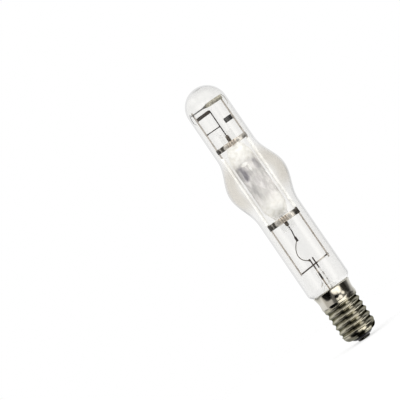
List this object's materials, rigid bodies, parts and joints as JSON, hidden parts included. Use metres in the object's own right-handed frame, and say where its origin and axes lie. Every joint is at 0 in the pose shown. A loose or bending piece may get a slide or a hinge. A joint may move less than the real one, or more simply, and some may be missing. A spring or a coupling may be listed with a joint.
{
  "type": "grow lamp",
  "caption": "Clear metal-halide grow lamp: bulged tubular glass bulb around a quartz arc tube held on side rods, with an E40 screw cap.",
  "frame": {"origin": "centre of the flat face of the cap's centre contact", "axes": "+Z along the lamp's axis from the cap to the dome; the mount's two side rods lie in the XZ plane, with the getter on the +X rod"},
  "size_m": [0.069, 0.069, 0.316],
  "materials": {
    "clear_glass": "clear polished borosilicate glass",
    "quartz": "clear fused quartz with a white fired coat on both ends and grey condensate",
    "white_ceramic": "white unglazed tube",
    "frame_wire": "drawn nickel-iron wire",
    "nickel_strip": "polished nickel strip",
    "getter_black": "matt black sintered strip",
    "dark_lead": "dark drawn wire, slightly oxidised",
    "molybdenum": "thin grey foil",
    "tungsten": "dark grey drawn wire",
    "metal_salt": "dull crystalline deposit",
    "cap_nickel": "nickel-plated brass, rolled",
    "solder": "bright solder",
    "black_glass": "moulded black glass, glossy",
    "cement": "fired basing cement"
  },
  "bodies": {
    "root": {"outer_bulb": "clear_glass", "glass_stem": "clear_glass", "exhaust_tube": "clear_glass", "arc_tube": "quartz", "rod_sleeve_left": "white_ceramic", "rod_sleeve_right": "white_ceramic", "side_rod_left": "frame_wire", "side_rod_right": "frame_wire", "bottom_crossbar": "frame_wire", "upper_cross_wire": "frame_wire", "strap_upper_front": "nickel_strip", "strap_upper_back": "nickel_strip", "strap_lower_front": "nickel_strip", "strap_lower_back": "nickel_strip", "top_strap": "nickel_strip", "dome_spring_left": "nickel_strip", "dome_spring_right": "nickel_strip", "nickel_ribbon": "nickel_strip", "getter_strip": "getter_black", "upper_lead_strip": "dark_lead", "stem_lead_left": "dark_lead", "stem_lead_right": "dark_lead", "arc_lead_upper": "dark_lead", "arc_lead_lower": "dark_lead", "lead_crimp": "dark_lead", "foil_upper": "molybdenum", "foil_lower": "molybdenum", "electrode_upper": "tungsten", "electrode_lower": "tungsten", "electrode_coil_upper": "tungsten", "electrode_coil_lower": "tungsten", "salt_dose": "metal_salt", "cap_shell": "cap_nickel", "centre_contact": "cap_nickel", "side_solder": "solder", "cap_wire_live": "nickel_strip", "cap_wire_return": "nickel_strip", "cap_insulator": "black_glass", "basing_cement": "cement"}
  },
  "joints": []
}
